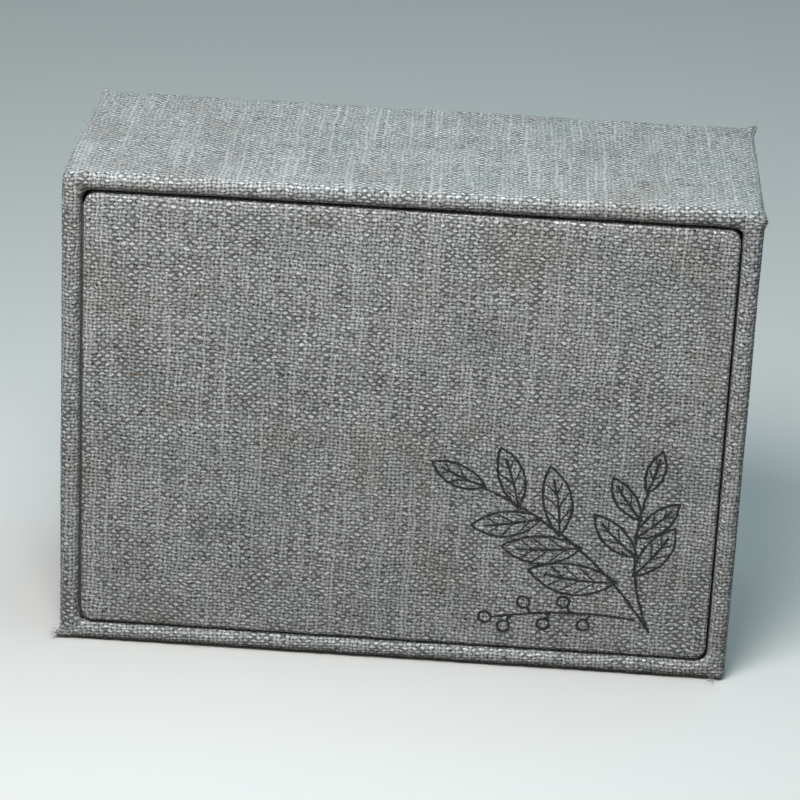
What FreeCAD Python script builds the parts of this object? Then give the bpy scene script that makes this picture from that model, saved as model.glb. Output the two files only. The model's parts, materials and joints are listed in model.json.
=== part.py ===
import FreeCAD, Part
import os

import Sketcher

# Sliding drawer gift box: a cloth-covered board sleeve, open at its front and its back,
# and an open-topped board drawer that slides through it from either end.
# X is the width, Y the depth with the front at -Y, Z is up.
# The origin is the middle of the footprint, on the surface that the box stands on.

os.makedirs("parts", exist_ok=True)
doc = FreeCAD.newDocument("SlidingDrawerBox")

# Driving sizes in millimetres
sizeTable = [
    ("box_width", 130.0, "sleeve, over the cloth"),
    ("box_depth", 54.0, "sleeve, front edge to back edge"),
    ("box_height", 96.0, "sleeve, over the cloth"),
    ("sleeve_board", 2.5, "grey board of the sleeve"),
    ("drawer_board", 2.0, "grey board of the drawer"),
    ("cloth", 0.45, "linen book cloth on its paper backing"),
    ("paper", 0.15, "lining paper"),
    ("tape", 0.09, "gummed paper tape round the board corners"),
    ("glue_line", 0.03, "between any two glued layers"),
    ("sleeve_board_round", 1.1, "outer board edges of the sleeve, rounded by the wrapping"),
    ("sleeve_mouth_round", 1.0, "inner board edges of the sleeve's mouths"),
    ("sleeve_opening_corner", 1.0, "cloth in the four inner corners of the sleeve"),
    ("drawer_side_round", 1.05, "board edges of the drawer that run front to back"),
    ("drawer_end_roll", 0.68, "cloth over the square board edges of the front and back panels"),
    ("drawer_rim_round", 0.5, "inner board edge of the drawer's rim"),
    ("sleeve_turn_in", 12.0, "cloth turned into the sleeve at each mouth"),
    ("drawer_turn_in", 12.0, "cloth turned over the rim into the drawer"),
    ("drawer_turn_under", 12.0, "cloth turned under the drawer"),
    ("turn_in_slit", 1.2, "each turn-in stops this far from an inner corner, where it is slit"),
    ("slit_start", 1.8, "from an edge of the boards to the start of a slit"),
    ("mitre_start", 3.0, "from the drawer's lower corners to the mitres under it"),
    ("mitre_gap", 0.3, "between two mitred ends of the turned-under cloth"),
    ("lining_setback", 3.0, "cloth left bare between a lining and the edge beside it"),
    ("tape_leg", 11.0, "each half of a folded corner tape"),
    ("tape_setback", 4.0, "from the end of a corner tape to the end of its corner"),
    ("side_clearance", 0.35, "drawer to sleeve lining, each side"),
    ("top_clearance", 0.5, "drawer rim to sleeve lining"),
    ("running_clearance", 0.2, "drawer to the lining that it slides on"),
    ("drawer_recess", 0.6, "drawer panels behind the sleeve's front and back edges"),
    ("cut_overrun", 0.2, "how far a cut runs past the face that it opens"),
]
sizes = doc.addObject("Spreadsheet::Sheet", "Sizes")
for row, (name, value, note) in enumerate(sizeTable, start=1):
    sizes.set(f"A{row}", name)
    sizes.set(f"B{row}", str(value))
    sizes.setAlias(f"B{row}", name)
    sizes.set(f"C{row}", note)
doc.recompute()

alongY = FreeCAD.Vector(0, 1, 0)
alongZ = FreeCAD.Vector(0, 0, 1)
matchShare = 1e-5  # two places closer than this share of the box's width are one

# Layers of the sleeve's wall, each a depth in from the outer face of the cloth
sleeveTapeOuter = "Sizes.cloth + Sizes.glue_line"
sleeveBoardOuter = f"{sleeveTapeOuter} + Sizes.tape + Sizes.glue_line"
sleeveBoardInner = f"{sleeveBoardOuter} + Sizes.sleeve_board"
sleeveTurnInOuter = f"{sleeveBoardInner} + Sizes.glue_line"
sleeveOpening = f"{sleeveTurnInOuter} + Sizes.cloth"
sleeveLiningOuter = f"{sleeveOpening} + Sizes.glue_line"
sleeveLiningInner = f"{sleeveLiningOuter} + Sizes.paper"
sleeveEdgeBoard = "Sizes.cloth + Sizes.glue_line"

# The drawer, sized by the sleeve's opening and the clearances
drawerWidth = f"Sizes.box_width - 2 * ({sleeveLiningInner} + Sizes.side_clearance)"
drawerDepth = "Sizes.box_depth - 2 * Sizes.drawer_recess"
drawerHeight = (
    f"Sizes.box_height - 2 * ({sleeveLiningInner}) - Sizes.top_clearance - Sizes.running_clearance"
)
coverDrop = "Sizes.glue_line + Sizes.paper"
drawerLevel = f"{sleeveLiningInner} + Sizes.running_clearance + {coverDrop}"
drawerWrapHeight = f"{drawerHeight} - ({coverDrop})"

# Layers of the drawer's wall, counted the same way, and of its underside, counted up
drawerTapeOuter = "Sizes.cloth + Sizes.glue_line"
drawerBoardOuter = f"{drawerTapeOuter} + Sizes.tape + Sizes.glue_line"
drawerBoardInner = f"{drawerBoardOuter} + Sizes.drawer_board"
drawerTurnInOuter = f"{drawerBoardInner} + Sizes.glue_line"
drawerOpening = f"{drawerTurnInOuter} + Sizes.cloth"
drawerLiningOuter = f"{drawerOpening} + Sizes.glue_line"
drawerLiningInner = f"{drawerLiningOuter} + Sizes.paper"
drawerBoardBottom = "Sizes.cloth + Sizes.glue_line"
drawerFloorTop = f"{drawerBoardBottom} + Sizes.drawer_board"


def inset(size, depth):
    """A size with the same depth taken off at both ends."""
    return f"{size} - 2 * ({depth})"


def millimetres(expression):
    value = sizes.evalExpression(expression)
    return float(getattr(value, "Value", value))


def near(first, second):
    return abs(first - second) < matchShare * millimetres("Sizes.box_width")


def runsAlong(edge, axis):
    start = edge.Vertexes[0].Point
    end = edge.Vertexes[-1].Point
    return near((end - start).cross(axis).Length, 0)


def liesOn(edge, axis, level):
    return all(near(vertex.Point.dot(axis), level) for vertex in edge.Vertexes)


def edgeNames(feature, wanted):
    edges = feature.Shape.Edges
    return [f"Edge{number}" for number, edge in enumerate(edges, start=1) if wanted(edge)]


def addRectangle(body, name, planeRole, width, height, level="0"):
    """A rectangle centred on the body's origin, in one of its planes, moved along the normal."""
    plane = [part for part in body.Origin.OriginFeatures if part.Role == planeRole][0]
    sketch = body.newObject("Sketcher::SketchObject", name)
    sketch.AttachmentSupport = [(plane, "")]
    sketch.MapMode = "FlatFace"
    sketch.setExpression("AttachmentOffset.Base.z", level)
    right = millimetres(width) / 2
    top = millimetres(height) / 2
    corners = [
        FreeCAD.Vector(-right, -top, 0),
        FreeCAD.Vector(right, -top, 0),
        FreeCAD.Vector(right, top, 0),
        FreeCAD.Vector(-right, top, 0),
    ]
    for start, end in zip(corners, corners[1:] + corners[:1]):
        sketch.addGeometry(Part.LineSegment(start, end), False)
    for side in range(4):
        sketch.addConstraint(Sketcher.Constraint("Coincident", side, 2, (side + 1) % 4, 1))
    for side in (0, 2):
        sketch.addConstraint(Sketcher.Constraint("Horizontal", side))
        sketch.addConstraint(Sketcher.Constraint("Vertical", side + 1))
    sketch.addConstraint(Sketcher.Constraint("Symmetric", 0, 1, 2, 1, -1, 1))
    across = sketch.addConstraint(Sketcher.Constraint("DistanceX", 0, 1, 0, 2, 2 * right))
    sketch.renameConstraint(across, "width")
    sketch.setExpression("Constraints.width", width)
    upwards = sketch.addConstraint(Sketcher.Constraint("DistanceY", 1, 1, 1, 2, 2 * top))
    sketch.renameConstraint(upwards, "height")
    sketch.setExpression("Constraints.height", height)
    return sketch


def addPad(body, sketch, length, symmetric):
    pad = body.newObject("PartDesign::Pad", f"{sketch.Name}Pad")
    pad.Profile = sketch
    pad.Midplane = symmetric
    pad.setExpression("Length", length)
    doc.recompute()
    return pad


def addPocket(body, sketch, symmetric):
    """Cuts right through, or from the sketch upwards, and makes sure that it has cut."""
    before = body.Shape.Volume
    pocket = body.newObject("PartDesign::Pocket", f"{sketch.Name}Pocket")
    pocket.Profile = sketch
    pocket.Type = "ThroughAll"
    pocket.Midplane = symmetric
    pocket.Reversed = not symmetric
    doc.recompute()
    if pocket.Shape.Volume >= before:
        raise RuntimeError(f"{pocket.Name} cut nothing")
    return pocket


def addRounding(body, feature, name, radius, wanted):
    rounding = body.newObject("PartDesign::Fillet", f"{body.Name}{name}")
    rounding.Base = (feature, edgeNames(feature, wanted))
    rounding.setExpression("Radius", radius)
    doc.recompute()
    return rounding


def addSleeveTube(name, side, end, inner, outerRadius, innerRadius, cornerRadius=None):
    """A tube of the sleeve's shape, its faces set in by the given depths, with rolled edges."""
    body = doc.addObject("PartDesign::Body", name)
    width = inset("Sizes.box_width", side)
    height = inset("Sizes.box_height", side)
    outline = addRectangle(body, f"{name}Outline", "XZ_Plane", width, height)
    block = addPad(body, outline, inset("Sizes.box_depth", end), True)
    addRounding(body, block, "OuterRoll", outerRadius, lambda edge: True)

    width = inset("Sizes.box_width", inner)
    height = inset("Sizes.box_height", inner)
    opening = addRectangle(body, f"{name}Opening", "XZ_Plane", width, height)
    last = addPocket(body, opening, True)
    right = millimetres(width) / 2
    top = millimetres(height) / 2

    def inOpening(edge):
        points = [vertex.Point for vertex in edge.Vertexes]
        acrossWide = all(abs(point.x) < right or near(abs(point.x), right) for point in points)
        return acrossWide and all(abs(point.z) < top or near(abs(point.z), top) for point in points)

    if cornerRadius:
        last = addRounding(
            body, last, "Corners", cornerRadius, lambda edge: inOpening(edge) and runsAlong(edge, alongY)
        )
    mouth = millimetres(inset("Sizes.box_depth", end)) / 2
    addRounding(
        body,
        last,
        "MouthRoll",
        innerRadius,
        lambda edge: inOpening(edge) and (liesOn(edge, alongY, mouth) or liesOn(edge, alongY, -mouth)),
    )
    body.setExpression("Placement.Base.z", "Sizes.box_height / 2")
    return body


def addTray(name, side, bottom, top, inner, floor, sideRadius, rimRadius, endRadius=None):
    """A tray of the drawer's shape between two levels over its underside, with rolled edges."""
    body = doc.addObject("PartDesign::Body", name)
    width = inset(drawerWidth, side)
    depth = inset(drawerDepth, side)
    outline = addRectangle(body, f"{name}Outline", "XY_Plane", width, depth, bottom)
    block = addPad(body, outline, f"{top} - ({bottom})", False)
    rounded = addRounding(body, block, "SideRoll", sideRadius, lambda edge: runsAlong(edge, alongY))
    front = millimetres(depth) / 2
    if endRadius:
        addRounding(
            body,
            rounded,
            "EndRoll",
            endRadius,
            lambda edge: liesOn(edge, alongY, front) or liesOn(edge, alongY, -front),
        )

    width = inset(drawerWidth, inner)
    depth = inset(drawerDepth, inner)
    opening = addRectangle(body, f"{name}Opening", "XY_Plane", width, depth, floor)
    last = addPocket(body, opening, False)
    right = millimetres(width) / 2
    rim = millimetres(top)

    def onInnerRim(edge):
        points = [vertex.Point for vertex in edge.Vertexes]
        return liesOn(edge, alongZ, rim) and all(near(abs(point.x), right) for point in points)

    addRounding(body, last, "RimRoll", rimRadius, onInnerRim)
    body.setExpression("Placement.Base.z", drawerLevel)
    return body


def addBlock(name, width, depth, height, level, cornerRadius=None, roundAxis=None):
    """A block centred in width and depth that stands on a level, its corners rounded if asked."""
    body = doc.addObject("PartDesign::Body", name)
    outline = addRectangle(body, f"{name}Outline", "XY_Plane", width, depth)
    block = addPad(body, outline, height, False)
    if cornerRadius:
        addRounding(body, block, "Corners", cornerRadius, lambda edge: runsAlong(edge, roundAxis))
    body.setExpression("Placement.Base.z", level)
    return body


def addRegion(name, length, width, height, x, y, z):
    """A plain box between named places, for cutting a shape into its pieces."""
    region = doc.addObject("Part::Box", name)
    region.setExpression("Length", length)
    region.setExpression("Width", width)
    region.setExpression("Height", height)
    region.setExpression("Placement.Base.x", x)
    region.setExpression("Placement.Base.y", y)
    region.setExpression("Placement.Base.z", z)
    return region


def addCornerBars(name, length, width, height, places):
    """Bars of one size, for cutting the cloth away in the four corners of an opening."""
    return [
        addRegion(f"{name}{number}", length, width, height, x, y, z)
        for number, (x, y, z) in enumerate(places, start=1)
    ]


def addFuse(name, shapes):
    fuse = doc.addObject("Part::MultiFuse", name)
    fuse.Shapes = shapes
    return fuse


def addCut(name, base, tool):
    cut = doc.addObject("Part::Cut", name)
    cut.Base = base
    cut.Tool = tool
    return cut


def addCommon(name, base, tool):
    common = doc.addObject("Part::Common", name)
    common.Base = base
    common.Tool = tool
    return common


subParts = []


def keep(label, item):
    """Gives a finished sub-part the name of its node."""
    item.Label = label
    subParts.append(item)
    return item


# Sleeve boards: top and bottom run full width, the sides stand between them
sleeveBoards = addSleeveTube(
    "SleeveBoards",
    sleeveBoardOuter,
    sleeveEdgeBoard,
    sleeveBoardInner,
    "Sizes.sleeve_board_round",
    "Sizes.sleeve_mouth_round",
)
acrossBoards = inset("Sizes.box_width", sleeveBoardOuter)
depthBoards = inset("Sizes.box_depth", sleeveEdgeBoard)
betweenBoards = inset("Sizes.box_height", sleeveBoardInner)
boardRegions = [
    ("top", acrossBoards, "Sizes.sleeve_board", f"-({acrossBoards}) / 2",
     f"Sizes.box_height - ({sleeveBoardInner})"),
    ("bottom", acrossBoards, "Sizes.sleeve_board", f"-({acrossBoards}) / 2", sleeveBoardOuter),
    ("left", "Sizes.sleeve_board", betweenBoards, f"-({acrossBoards}) / 2", sleeveBoardInner),
    ("right", "Sizes.sleeve_board", betweenBoards, f"({acrossBoards}) / 2 - Sizes.sleeve_board",
     sleeveBoardInner),
]
for side, length, height, x, z in boardRegions:
    region = addRegion(
        f"SleeveRegion{side.title()}", length, depthBoards, height, x, f"-({depthBoards}) / 2", z
    )
    board = addCommon(f"SleeveBoard{side.title()}", sleeveBoards, region)
    keep(f"sleeve_{side}_board", board)

# Sleeve corner tapes: thin paper folded round each long corner of the boards
tapeLength = inset("Sizes.box_depth", "Sizes.tape_setback")


def addSleeveTapeLayer(name, depth, radius):
    body = doc.addObject("PartDesign::Body", name)
    width = inset("Sizes.box_width", depth)
    height = inset("Sizes.box_height", depth)
    outline = addRectangle(body, f"{name}Outline", "XZ_Plane", width, height)
    block = addPad(body, outline, tapeLength, True)
    addRounding(body, block, "Corners", radius, lambda edge: runsAlong(edge, alongY))
    body.setExpression("Placement.Base.z", "Sizes.box_height / 2")
    return body


sleeveTapeShell = addCut(
    "SleeveTapeShell",
    addSleeveTapeLayer(
        "SleeveTapeOutside", sleeveTapeOuter, "Sizes.sleeve_board_round + Sizes.tape + Sizes.glue_line"
    ),
    addSleeveTapeLayer(
        "SleeveTapeInside",
        f"{sleeveTapeOuter} + Sizes.tape",
        "Sizes.sleeve_board_round + Sizes.glue_line",
    ),
)
for level, z in (("bottom", "0"), ("top", "Sizes.box_height - Sizes.tape_leg")):
    for side, x in (
        ("left", "-Sizes.box_width / 2"),
        ("right", "Sizes.box_width / 2 - Sizes.tape_leg"),
    ):
        region = addRegion(
            f"SleeveTapeRegion{level.title()}{side.title()}",
            "Sizes.tape_leg", tapeLength, "Sizes.tape_leg", x, f"-({tapeLength}) / 2", z,
        )
        tape = addCommon(f"SleeveTape{level.title()}{side.title()}", sleeveTapeShell, region)
        keep(f"sleeve_{level}_{side}_corner_tape", tape)

# Sleeve cloth: one wrap that rolls over every board edge and turns into both mouths
sleeveCavityRadius = "Sizes.sleeve_board_round + Sizes.glue_line"
sleeveMouthRadius = "Sizes.sleeve_mouth_round + Sizes.glue_line"
sleeveWrap = addSleeveTube(
    "SleeveWrap",
    "0",
    "0",
    sleeveOpening,
    f"{sleeveCavityRadius} + Sizes.cloth",
    f"{sleeveMouthRadius} + Sizes.cloth",
    "Sizes.sleeve_opening_corner",
)
sleeveCavity = addSleeveTube(
    "SleeveCavity",
    "Sizes.cloth",
    "Sizes.cloth",
    sleeveTurnInOuter,
    sleeveCavityRadius,
    sleeveMouthRadius,
)
betweenTurnIns = addRegion(
    "BetweenSleeveTurnIns",
    inset("Sizes.box_width", f"{sleeveTurnInOuter} - Sizes.cut_overrun"),
    inset("Sizes.box_depth", "Sizes.sleeve_turn_in"),
    inset("Sizes.box_height", f"{sleeveTurnInOuter} - Sizes.cut_overrun"),
    f"{sleeveTurnInOuter} - Sizes.cut_overrun - Sizes.box_width / 2",
    "Sizes.sleeve_turn_in - Sizes.box_depth / 2",
    f"{sleeveTurnInOuter} - Sizes.cut_overrun",
)
slitReach = "Sizes.cloth + Sizes.turn_in_slit + Sizes.cut_overrun"
slitInset = f"{sleeveTurnInOuter} - Sizes.cut_overrun"
slitLength = inset("Sizes.box_depth", f"{sleeveEdgeBoard} + Sizes.slit_start")
sleeveSlits = addCornerBars("SleeveSlit", slitReach, slitLength, slitReach, [
    (x, f"-({slitLength}) / 2", z)
    for x in (
        f"{slitInset} - Sizes.box_width / 2",
        f"Sizes.box_width / 2 - ({slitInset}) - ({slitReach})",
    )
    for z in (slitInset, f"Sizes.box_height - ({slitInset}) - ({slitReach})")
])
sleeveHollow = addFuse("SleeveHollow", [sleeveCavity, betweenTurnIns] + sleeveSlits)
keep("sleeve_cloth", addCut("SleeveCloth", sleeveWrap, sleeveHollow))


# Sleeve lining: a paper tube on the boards that steps up over both turn-ins
def addSleeveLiningLayer(name, depth, length, cornerRadius=None):
    body = doc.addObject("PartDesign::Body", name)
    width = inset("Sizes.box_width", depth)
    height = inset("Sizes.box_height", depth)
    outline = addRectangle(body, f"{name}Outline", "XZ_Plane", width, height)
    block = addPad(body, outline, length, True)
    if cornerRadius:
        addRounding(body, block, "Corners", cornerRadius, lambda edge: runsAlong(edge, alongY))
    body.setExpression("Placement.Base.z", "Sizes.box_height / 2")
    return body


overTurnIns = inset("Sizes.box_depth", "Sizes.lining_setback")
onBoards = inset("Sizes.box_depth", "Sizes.sleeve_turn_in + Sizes.glue_line")
liningOutside = addFuse("SleeveLiningOutside", [
    addSleeveLiningLayer(
        "LiningOverTurnIns", sleeveLiningOuter, overTurnIns, "Sizes.sleeve_opening_corner - Sizes.glue_line"
    ),
    addSleeveLiningLayer("LiningOnBoards", sleeveTurnInOuter, onBoards),
])
liningInside = addFuse("SleeveLiningInside", [
    addSleeveLiningLayer(
        "LiningBore",
        sleeveLiningInner,
        f"{overTurnIns} + Sizes.cut_overrun",
        "Sizes.sleeve_opening_corner - Sizes.glue_line - Sizes.paper",
    ),
    addSleeveLiningLayer(
        "LiningWell", f"{sleeveTurnInOuter} + Sizes.paper", inset(onBoards, "Sizes.paper")
    ),
])
keep("sleeve_lining", addCut("SleeveLining", liningOutside, liningInside))

# Drawer boards: front and back run full width, the sides stand between them, the floor inside
drawerBoards = addTray(
    "DrawerBoards",
    drawerBoardOuter,
    drawerBoardBottom,
    f"{drawerWrapHeight} - ({drawerBoardBottom})",
    drawerBoardInner,
    drawerFloorTop,
    "Sizes.drawer_side_round",
    "Sizes.drawer_rim_round",
)
wideOuter = inset(drawerWidth, drawerBoardOuter)
wideInner = inset(drawerWidth, drawerBoardInner)
deepOuter = inset(drawerDepth, drawerBoardOuter)
deepInner = inset(drawerDepth, drawerBoardInner)
wallRegions = [
    ("front", wideOuter, "Sizes.drawer_board", f"-({wideOuter}) / 2", f"-({deepOuter}) / 2"),
    ("back", wideOuter, "Sizes.drawer_board", f"-({wideOuter}) / 2", f"({deepInner}) / 2"),
    ("left", "Sizes.drawer_board", deepInner, f"-({wideOuter}) / 2", f"-({deepInner}) / 2"),
    ("right", "Sizes.drawer_board", deepInner, f"({wideInner}) / 2", f"-({deepInner}) / 2"),
]
for side, length, width, x, y in wallRegions:
    region = addRegion(
        f"DrawerRegion{side.title()}", length, width, drawerWrapHeight, x, y, drawerLevel
    )
    board = addCommon(f"DrawerBoard{side.title()}", drawerBoards, region)
    keep(f"drawer_{side}_board", board)
floorRegion = addRegion(
    "DrawerRegionFloor", wideInner, deepInner, drawerWrapHeight,
    f"-({wideInner}) / 2", f"-({deepInner}) / 2", drawerLevel,
)
keep("drawer_floor_board", addCommon("DrawerBoardFloor", drawerBoards, floorRegion))

# Drawer corner tapes: the same paper folded round the four standing corners
drawerTapeHeight = inset(drawerWrapHeight, "Sizes.tape_setback")
drawerTapeLevel = f"{drawerLevel} + Sizes.tape_setback"
drawerTapeShell = addCut(
    "DrawerTapeShell",
    addBlock(
        "DrawerTapeOutside",
        inset(drawerWidth, drawerTapeOuter),
        inset(drawerDepth, drawerTapeOuter),
        drawerTapeHeight,
        drawerTapeLevel,
        "Sizes.tape",
        alongZ,
    ),
    addBlock(
        "DrawerTapeInside",
        inset(drawerWidth, f"{drawerTapeOuter} + Sizes.tape"),
        inset(drawerDepth, f"{drawerTapeOuter} + Sizes.tape"),
        drawerTapeHeight,
        drawerTapeLevel,
    ),
)
for end, y in (("front", f"-({drawerDepth}) / 2"), ("back", f"({drawerDepth}) / 2 - Sizes.tape_leg")):
    for side, x in (
        ("left", f"-({drawerWidth}) / 2"),
        ("right", f"({drawerWidth}) / 2 - Sizes.tape_leg"),
    ):
        region = addRegion(
            f"DrawerTapeRegion{end.title()}{side.title()}",
            "Sizes.tape_leg", "Sizes.tape_leg", drawerTapeHeight, x, y, drawerTapeLevel,
        )
        tape = addCommon(f"DrawerTape{end.title()}{side.title()}", drawerTapeShell, region)
        keep(f"drawer_{end}_{side}_corner_tape", tape)

# Drawer cloth: one wrap round the walls, turned over the rim and under the floor
drawerWrap = addTray(
    "DrawerWrap",
    "0",
    "0",
    drawerWrapHeight,
    drawerOpening,
    drawerFloorTop,
    "Sizes.drawer_side_round + Sizes.glue_line + Sizes.cloth",
    "Sizes.drawer_rim_round + Sizes.glue_line + Sizes.cloth",
    "Sizes.drawer_end_roll",
)
drawerCavity = addTray(
    "DrawerCavity",
    "Sizes.cloth",
    "Sizes.cloth",
    f"{drawerWrapHeight} - Sizes.cloth",
    drawerTurnInOuter,
    f"{drawerFloorTop} + Sizes.cut_overrun",
    "Sizes.drawer_side_round + Sizes.glue_line",
    "Sizes.drawer_rim_round + Sizes.glue_line",
)
belowTurnIn = addBlock(
    "BelowDrawerTurnIn",
    inset(drawerWidth, f"{drawerTurnInOuter} - Sizes.cut_overrun"),
    inset(drawerDepth, f"{drawerTurnInOuter} - Sizes.cut_overrun"),
    f"{drawerWrapHeight} - Sizes.drawer_turn_in - ({drawerFloorTop})",
    f"{drawerLevel} + {drawerFloorTop}",
)
insideTurnUnder = addBlock(
    "InsideDrawerTurnUnder",
    inset(drawerWidth, "Sizes.drawer_turn_under"),
    inset(drawerDepth, "Sizes.drawer_turn_under"),
    drawerFloorTop,
    f"{drawerLevel} - Sizes.cut_overrun",
)
slitInset = f"{drawerTurnInOuter} - Sizes.cut_overrun"
slitLength = f"{drawerWrapHeight} - ({drawerBoardBottom}) - Sizes.slit_start - ({drawerFloorTop})"
drawerSlits = addCornerBars("DrawerSlit", slitReach, slitReach, slitLength, [
    (x, y, f"{drawerLevel} + {drawerFloorTop}")
    for x in (f"{slitInset} - ({drawerWidth}) / 2", f"({drawerWidth}) / 2 - ({slitInset}) - ({slitReach})")
    for y in (f"{slitInset} - ({drawerDepth}) / 2", f"({drawerDepth}) / 2 - ({slitInset}) - ({slitReach})")
])

# The turned-under cloth is mitred: a narrow cut runs in from each lower corner
diagonalShare = 0.5 ** 0.5
mitres = []
for quarter, (toRight, toBack) in enumerate(((-1, -1), (1, -1), (1, 1), (-1, 1))):
    mitre = addRegion(
        f"DrawerMitre{quarter + 1}",
        f"(Sizes.drawer_turn_under - Sizes.mitre_start + Sizes.cut_overrun) / {diagonalShare}",
        "Sizes.mitre_gap",
        "Sizes.cloth + 2 * Sizes.cut_overrun",
        f"{toRight} * (({drawerWidth}) / 2 - Sizes.mitre_start)"
        f" - {toBack * diagonalShare} * Sizes.mitre_gap / 2",
        f"{toBack} * (({drawerDepth}) / 2 - Sizes.mitre_start)"
        f" + {toRight * diagonalShare} * Sizes.mitre_gap / 2",
        f"{drawerLevel} - Sizes.cut_overrun",
    )
    mitre.Placement.Rotation = FreeCAD.Rotation(alongZ, 45 + 90 * quarter)
    mitres.append(mitre)
drawerHollow = addFuse(
    "DrawerHollow", [drawerCavity, belowTurnIn, insideTurnUnder] + drawerSlits + mitres
)
keep("drawer_cloth", addCut("DrawerCloth", drawerWrap, drawerHollow))

# Drawer base cover: paper over the turned-under cloth, pressed up against the floor board
windowWide = inset(drawerWidth, "Sizes.drawer_turn_under + Sizes.glue_line")
windowDeep = inset(drawerDepth, "Sizes.drawer_turn_under + Sizes.glue_line")
baseCoverSolid = addFuse("BaseCoverSolid", [
    addBlock(
        "BaseCoverRim",
        inset(drawerWidth, "Sizes.lining_setback"),
        inset(drawerDepth, "Sizes.lining_setback"),
        "Sizes.paper",
        f"{drawerLevel} - ({coverDrop})",
    ),
    addBlock(
        "BaseCoverMiddle",
        windowWide,
        windowDeep,
        f"{coverDrop} + Sizes.cloth",
        f"{drawerLevel} - ({coverDrop})",
    ),
])
baseCoverDish = addBlock(
    "BaseCoverDish",
    inset(windowWide, "Sizes.paper"),
    inset(windowDeep, "Sizes.paper"),
    f"{coverDrop} + Sizes.cloth - Sizes.paper + Sizes.cut_overrun",
    f"{drawerLevel} - ({coverDrop}) - Sizes.cut_overrun",
)
keep("drawer_base_cover", addCut("DrawerBaseCover", baseCoverSolid, baseCoverDish))

# Drawer wall lining: paper round the inside that steps out over the turned-in cloth
liningFoot = f"{drawerFloorTop} + Sizes.glue_line"
liningStep = f"{drawerWrapHeight} - Sizes.drawer_turn_in - Sizes.glue_line"
liningTop = f"{drawerWrapHeight} - Sizes.lining_setback"
wallLiningOutside = addFuse("WallLiningOutside", [
    addBlock(
        "WallLiningOverTurnIn",
        inset(drawerWidth, drawerLiningOuter),
        inset(drawerDepth, drawerLiningOuter),
        f"{liningTop} - ({liningFoot})",
        f"{drawerLevel} + {liningFoot}",
    ),
    addBlock(
        "WallLiningOnBoards",
        inset(drawerWidth, drawerTurnInOuter),
        inset(drawerDepth, drawerTurnInOuter),
        f"{liningStep} - ({liningFoot})",
        f"{drawerLevel} + {liningFoot}",
    ),
])
wallLiningInside = addFuse("WallLiningInside", [
    addBlock(
        "WallLiningBore",
        inset(drawerWidth, drawerLiningInner),
        inset(drawerDepth, drawerLiningInner),
        f"{liningTop} - ({liningFoot}) + 2 * Sizes.cut_overrun",
        f"{drawerLevel} + {liningFoot} - Sizes.cut_overrun",
    ),
    addBlock(
        "WallLiningWell",
        inset(drawerWidth, f"{drawerTurnInOuter} + Sizes.paper"),
        inset(drawerDepth, f"{drawerTurnInOuter} + Sizes.paper"),
        f"{liningStep} - Sizes.paper - ({liningFoot}) + Sizes.cut_overrun",
        f"{drawerLevel} + {liningFoot} - Sizes.cut_overrun",
    ),
])
keep("drawer_wall_lining", addCut("DrawerWallLining", wallLiningOutside, wallLiningInside))

# Drawer floor lining: a paper sheet on the floor board, inside the wall lining
keep("drawer_floor_lining", addBlock(
    "DrawerFloorLining",
    inset(drawerWidth, f"{drawerTurnInOuter} + Sizes.paper + Sizes.glue_line"),
    inset(drawerDepth, f"{drawerTurnInOuter} + Sizes.paper + Sizes.glue_line"),
    "Sizes.paper",
    f"{drawerLevel} + {liningFoot}",
))

doc.recompute()

# Every feature has to be sound before anything is written
for item in doc.Objects:
    if "Invalid" in item.State or "Error" in item.State:
        raise RuntimeError(f"{item.Name} is {item.State}")
for item in subParts:
    if item.Shape.isNull() or not item.Shape.isValid():
        raise RuntimeError(f"{item.Label} has no valid shape")
for item in subParts:
    item.Shape.exportStep(f"parts/{item.Label}.step")
    bounds = item.Shape.BoundBox
    print(
        f"{item.Label:34s} {len(item.Shape.Solids)} solid"
        f"  X {bounds.XMin:8.2f} {bounds.XMax:8.2f}"
        f"  Y {bounds.YMin:8.2f} {bounds.YMax:8.2f}"
        f"  Z {bounds.ZMin:8.2f} {bounds.ZMax:8.2f}"
        f"  {item.Shape.Volume:9.1f} mm3"
    )
print(f"{len(subParts)} sub-parts written")
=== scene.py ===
import json
import math
import random

import bmesh
import bpy
from mathutils import Matrix, Vector, noise


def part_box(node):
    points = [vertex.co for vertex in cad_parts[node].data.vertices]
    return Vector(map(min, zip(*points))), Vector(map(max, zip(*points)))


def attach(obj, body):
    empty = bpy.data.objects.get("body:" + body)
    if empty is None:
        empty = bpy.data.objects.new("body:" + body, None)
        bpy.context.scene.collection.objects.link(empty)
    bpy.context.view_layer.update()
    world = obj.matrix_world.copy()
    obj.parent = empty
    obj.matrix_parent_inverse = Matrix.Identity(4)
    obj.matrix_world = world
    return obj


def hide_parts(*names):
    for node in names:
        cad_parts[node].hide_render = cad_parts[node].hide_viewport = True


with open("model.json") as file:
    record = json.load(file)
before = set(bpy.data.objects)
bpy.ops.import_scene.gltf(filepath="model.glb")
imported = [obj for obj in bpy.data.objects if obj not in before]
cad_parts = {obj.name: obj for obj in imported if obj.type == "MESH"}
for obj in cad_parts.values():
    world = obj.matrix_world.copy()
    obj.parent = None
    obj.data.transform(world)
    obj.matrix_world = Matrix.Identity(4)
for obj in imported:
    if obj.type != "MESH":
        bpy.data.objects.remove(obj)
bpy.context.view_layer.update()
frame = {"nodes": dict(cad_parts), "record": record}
mm = 0.001
quarter = math.pi / 2
print("frame loaded")


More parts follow.
